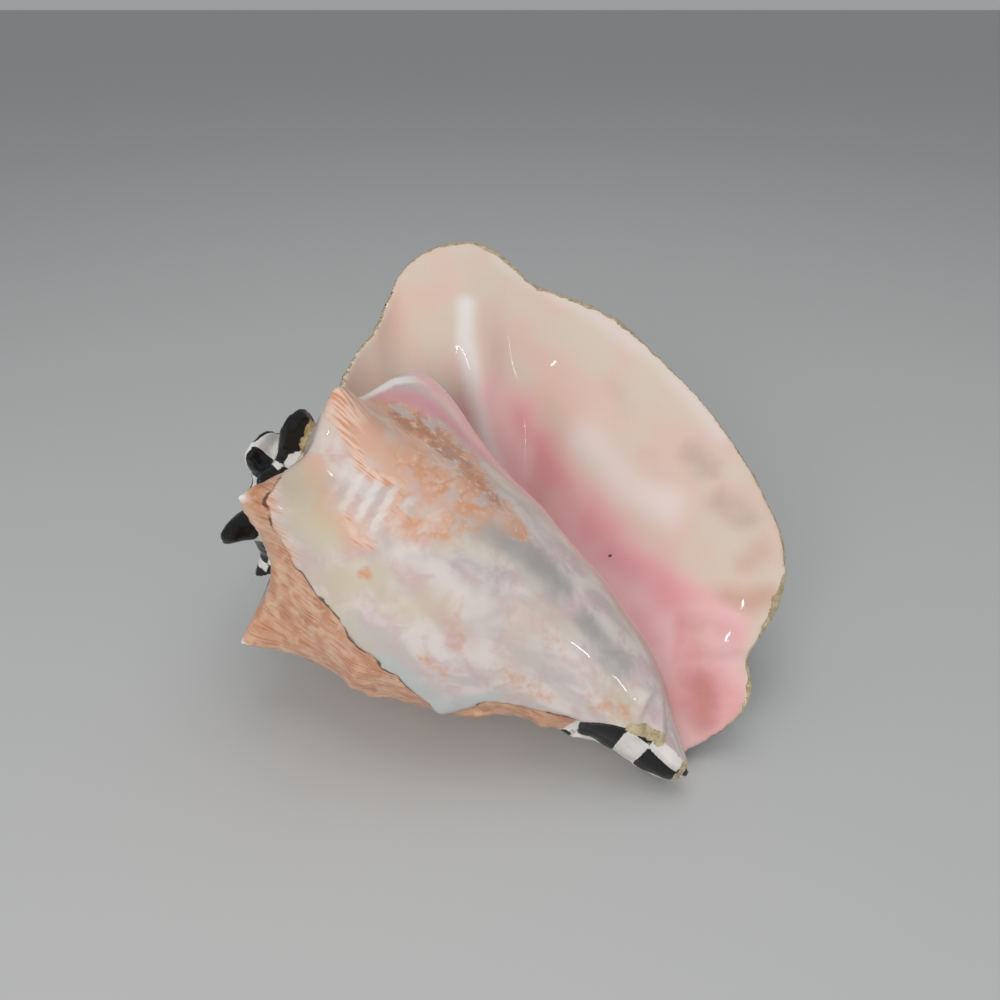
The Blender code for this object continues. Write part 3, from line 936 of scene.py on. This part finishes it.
# Finish colours
CREAM = (0.72, 0.62, 0.52, 1)
WARM_CREAM = (0.76, 0.575, 0.49, 1)
ROSE = (0.86, 0.48, 0.49, 1)
DEEP_ROSE = (0.80, 0.35, 0.39, 1)
PALE_ROSE = (0.86, 0.56, 0.55, 1)
PEACH = (0.80, 0.56, 0.45, 1)
MILK = (0.84, 0.79, 0.76, 1)
# lilac made lighter to paint in the light that falls on the lip's ridge
LILAC_WITH_RIDGE_LIGHT = (0.83, 0.63, 0.66, 1)
MAUVE = (0.54, 0.40, 0.34, 1)
TAN = (0.64, 0.40, 0.31, 1)
UMBER = (0.52, 0.22, 0.19, 1)
PEARL = (0.71, 0.635, 0.60, 1)
GREY_PEARL = (0.56, 0.495, 0.475, 1)
LAVENDER = (0.58, 0.42, 0.43, 1)
CLAY = (0.58, 0.28, 0.165, 1)
DARK_CLAY = (0.32, 0.11, 0.06, 1)
PALE_CLAY = (0.69, 0.42, 0.28, 1)
RUST = (0.42, 0.185, 0.105, 1)
VIOLET = (0.68, 0.34, 0.38, 1)
SLATE = (0.37, 0.36, 0.35, 1)
SAND = (0.60, 0.53, 0.40, 1)
ICE = (0.50, 0.55, 0.54, 1)
AMBER = (0.64, 0.30, 0.16, 1)
GOLDEN = (0.80, 0.58, 0.40, 1)
APRICOT = (0.71, 0.40, 0.27, 1)
BLUSH = (0.62, 0.42, 0.38, 1)
BLACK_PAINT = (0.008, 0.008, 0.009, 1)
WHITE_PAINT = (0.66, 0.65, 0.61, 1)
GOLD = (1.0, 0.84, 0.54, 1)
OLD_GOLD = (0.70, 0.55, 0.32, 1)
CRACK = (0.07, 0.045, 0.03, 1)


def glazed_shell():
    """The whole finish: natural shell colours under a clear coat with a painted highlight along the body's
    crest, painted checks and gold leaf.
    """
    m = Layers("glazed_shell")
    broad = m.grain(26, 3, 0.5)
    silk = m.grain(22, 1, 0.4)
    cloud = m.grain(11, 4, 0.55, distortion=0.4)
    patches = m.grain(7, 2, 0.5, distortion=0.8)
    fine = m.grain(3.2, 4, 0.6)
    speckle = m.grain(1.1, 3, 0.6)
    growth = m.grain(0.8, 2, 0.5, place=m.surface(0.06))
    bands = m.grain(8, 3, 0.55, place=m.surface(0.8))
    drift = m.grain(17, 2, 0.5, place=m.surface(0.6), distortion=0.5)

    lip = m.mix(m.spread(silk, 0.35, 0.65), CREAM, WARM_CREAM)
    lip = m.mix(m.soaked("peach", silk, 0.4, 0.05, 1.0), lip, PEACH)
    lip = m.mix(m.soaked("mauve", cloud, 0.5, 0.05, 1.0), lip, MAUVE)
    lip = m.mix(m.soaked("tan", cloud, 0.4, 0.05, 1.0), lip, TAN)
    pinks = m.mix(m.spread(silk, 0.35, 0.65), PALE_ROSE, ROSE)
    lip = m.mix(m.soaked("rose", silk, 0.25, 0.05, 0.95), lip, pinks)
    lip = m.mix(m.times(m.value("columella"), 0.9), lip, pinks)
    lip = m.mix(m.times(m.soaked("deep_rose", silk, 0.3, 0.05, 1.0), 0.8), lip, DEEP_ROSE)
    lip = m.mix(m.soaked("umber", cloud, 0.4, 0.1, 1.0), lip, UMBER)
    # the ridge's lilac: partly its own tint, partly painted light
    lip = m.mix(m.soaked("lilac_and_ridge_light", silk, 0.3, 0.05, 1.0), lip, LILAC_WITH_RIDGE_LIGHT)
    lip = m.mix(m.soaked("milk", silk, 0.35, 0.05, 1.0), lip, MILK)

    natural = m.mix(m.spread(bands, 0.35, 0.65), CLAY, PALE_CLAY)
    natural = m.mix(m.times(m.spread(growth, 0.50, 0.36), 0.5), natural, DARK_CLAY)
    natural = m.mix(m.times(m.spread(patches, 0.52, 0.64), 0.35), natural, GOLDEN)
    natural = m.mix(m.spread(m.value("tips"), 0.86, 0.98), natural, MILK)

    body = m.mix(m.spread(drift, 0.34, 0.60), GREY_PEARL, PEARL)
    body = m.mix(m.times(m.spread(cloud, 0.44, 0.66), 0.7), body, LAVENDER)
    body = m.mix(m.times(m.spread(broad, 0.50, 0.68), 0.5), body, SAND)
    body = m.mix(m.soaked("sand", cloud, 0.5, 0.1, 1.0), body, SAND)
    body = m.mix(m.soaked("slate", cloud, 0.7, 0.15, 1.0), body, SLATE)
    body = m.mix(m.soaked("blush", cloud, 0.5, 0.15, 1.0), body, BLUSH)
    body = m.mix(m.soaked("violet", cloud, 0.3, 0.1, 0.95), body, VIOLET)
    body = m.mix(m.times(m.soaked("wash", cloud, 1.1, 0.1, 1.0), 0.8), body, APRICOT)
    mottled = m.soaked("mottle", cloud, 0.8, 0.15, 0.8)
    body = m.mix(m.times(mottled, m.spread(patches, 0.42, 0.62, 0.9, 0.0)), body, APRICOT)
    bark = m.times(m.soaked("bark", patches, 1.4, 0.2, 0.9), m.spread(fine, 0.68, 0.52))
    body = m.mix(m.times(bark, 0.75), body, RUST)
    veins = m.times(m.spread(m.cells(9, fine), 0.16, 0.01), mottled)
    body = m.mix(m.times(veins, 0.65), body, AMBER)
    islands = m.times(m.spread(m.grain(10, 2, 0.5, place=m.surface(0.7)), 0.54, 0.62), mottled)
    body = m.mix(m.times(islands, 0.8), body, GREY_PEARL)
    flecks = m.times(m.spread(m.math("ADD", m.times(fine, 0.75), m.times(speckle, 0.25)), 0.53, 0.62), mottled)
    body = m.mix(m.times(flecks, 0.55), body, GOLDEN)
    streaks = m.mix(m.spread(growth, 0.40, 0.54), AMBER, PEACH)
    body = m.mix(m.soaked("clay", fine, 0.8, 0.15, 0.9), body, streaks)
    body = m.mix(m.times(m.soaked("amber", fine, 1.2, 0.25, 1.0), 0.85), body, AMBER)
    body = m.mix(m.times(m.soaked("ice", cloud, 0.9, 0.2, 0.9), 0.75), body, ICE)
    body = m.mix(m.times(m.soaked("bars", patches, 0.9, 0.0, 1.3), 0.7), body, MILK)
    # the pale line along the mound's crest is a painted highlight in milk colour
    body = m.mix(m.soaked("crest_highlight", fine, 0.3), body, MILK)

    edge = m.math("ADD", m.value("glaze"), m.times(m.math("SUBTRACT", fine, 0.5), 1.5))
    skin = m.mix(m.spread(edge, -0.6, 0.8), natural, body)
    crack = m.times(m.spread(edge, -2.3, -0.9), m.spread(edge, 0.6, -0.4))
    crack = m.times(crack, m.spread(cloud, 0.40, 0.52))
    skin = m.mix(m.times(crack, 0.9), skin, CRACK)
    skin = m.mix(m.value("aperture"), skin, lip)
    skin = m.mix(m.spread(m.value("speck"), 0.2, 0.6), skin, CRACK)

    paint = m.math("ADD", m.value("painted"), m.times(m.math("SUBTRACT", fine, 0.5), 1.2))
    paint = m.spread(paint, -0.15, 0.25)
    checked = m.math("ADD", m.value("checks"), m.times(m.math("SUBTRACT", fine, 0.5), 0.16))
    white = m.mix(m.spread(cloud, 0.3, 0.7), WHITE_PAINT, MILK)
    checked = m.mix(m.spread(checked, -0.02, 0.03), white, BLACK_PAINT)
    skin = m.mix(paint, skin, checked)
    caps = m.math("ADD", m.value("caps"), m.times(m.math("SUBTRACT", fine, 0.5), 0.15))
    caps = m.spread(caps, 0.26, 0.30)
    skin = m.mix(caps, skin, BLACK_PAINT)
    leaf = m.math("ADD", m.value("gilding"), m.times(m.math("SUBTRACT", speckle, 0.5), 2.2))
    leaf = m.spread(leaf, -0.1, 0.2)
    skin = m.mix(leaf, skin, m.mix(m.spread(fine, 0.35, 0.65), GOLD, OLD_GOLD))
    m.feed(m.shader.inputs["Base Color"], skin)
    m.feed(m.shader.inputs["Metallic"], m.times(leaf, 0.8))
    m.feed(m.shader.inputs["Roughness"], m.spread(leaf, 0, 1, 0.42, 0.25))

    outside = m.math("SUBTRACT", 1.0, m.value("aperture"))
    rough = m.times(m.spread(edge, 0.8, -0.8), outside)
    height = m.times(m.times(growth, rough), 0.6)
    height = m.math("ADD", height, m.times(m.times(fine, outside), 0.12))
    height = m.math("ADD", height, m.times(m.times(speckle, leaf), 0.25))
    bump = m.nodes.new("ShaderNodeBump")
    bump.inputs["Distance"].default_value = MM
    bump.inputs["Strength"].default_value = 0.8
    m.feed(bump.inputs["Height"], height)
    m.feed(m.shader.inputs["Normal"], bump.outputs["Normal"])
    m.shader.inputs["Specular IOR Level"].default_value = 0.2
    m.shader.inputs["Coat Weight"].default_value = 0.8
    m.shader.inputs["Coat IOR"].default_value = 1.4
    m.shader.inputs["Coat Roughness"].default_value = 0.03
    return m.material


def build_shell():
    sheet, rise, turns = wall_sheet(SHEET_STEP)
    core = ringed_mesh("core", core_rows(CORE_STEP), False)
    wall = ringed_mesh("wall", thick_rows(sheet, rise, turns), True)
    shell = joined_skin([core, wall])
    skin = Skin(shell, sheet, rise, turns)
    glaze_depth = lay_out_colours(shell, skin)
    raise_relief(shell, skin, glaze_depth)
    lay_down(shell)
    shell.data.shade_smooth()
    shell.data.materials.clear()
    shell.data.materials.append(glazed_shell())
    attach(shell, "root")
    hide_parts(CAD_NODE)


# Studio

def soft_light(name, place, aim, size, power, colour, mirrored):
    light = bpy.data.lights.new(name, "AREA")
    light.shape = "RECTANGLE"
    light.size, light.size_y = size
    light.energy = power
    light.color = colour
    lamp = bpy.data.objects.new(name, light)
    bpy.context.scene.collection.objects.link(lamp)
    lamp.location = place
    lamp.rotation_euler = (Vector(aim) - Vector(place)).to_track_quat("-Z", "Y").to_euler()
    lamp.visible_glossy = mirrored


def studio():
    mesh = bpy.data.meshes.new("floor")
    half = 6.0
    corners = [(-half, -half, 0), (half, -half, 0), (half, half, 0), (-half, half, 0)]
    mesh.from_pydata(corners, [], [(0, 1, 2, 3)])
    floor = bpy.data.objects.new("floor", mesh)
    bpy.context.scene.collection.objects.link(floor)
    pale = bpy.data.materials.new("pale_floor")
    pale.use_nodes = True
    shader = pale.node_tree.nodes["Principled BSDF"]
    shader.inputs["Base Color"].default_value = (0.54, 0.55, 0.55, 1)
    shader.inputs["Roughness"].default_value = 0.7
    mesh.materials.append(pale)
    world = bpy.data.worlds.new("studio")
    bpy.context.scene.world = world
    world.use_nodes = True
    world.node_tree.nodes["Background"].inputs["Color"].default_value = (0.8, 0.81, 0.83, 1)
    world.node_tree.nodes["Background"].inputs["Strength"].default_value = 0.42
    bpy.context.scene.view_settings.view_transform = "Standard"
    soft_light("ceiling", (0.10, 0.15, 1.2), (0, 0, 0.05), (1.0, 0.8), 3.6, (1, 0.98, 0.96), False)
    soft_light("front_soft", (-0.30, -1.0, 0.55), (0, 0, 0.06), (0.9, 0.7), 7.0, (1, 0.99, 0.97), False)
    soft_light("window_above", (-0.16, -0.13, 1.3), (0.1, 0, 0.04), (0.02, 0.03), 0.07, (1, 1, 1), True)
    soft_light("window_right", (0.66, -0.86, 0.52), (0, 0, 0.05), (0.03, 0.12), 0.26, (1, 1, 1), True)
    soft_light("window_left", (-0.72, -0.70, 0.48), (0, 0, 0.1), (0.03, 0.08), 0.18, (1, 1, 1), True)
    camera = bpy.data.objects.new("camera", bpy.data.cameras.new("camera"))
    bpy.context.scene.collection.objects.link(camera)
    camera.location = CAMERA_PLACE
    camera.rotation_euler = (np.radians(CAMERA_PITCH), 0, 0)
    camera.data.lens = LENS
    camera.data.sensor_width = 36
    camera.data.clip_start = 0.01
    bpy.context.scene.camera = camera


build_shell()
studio()
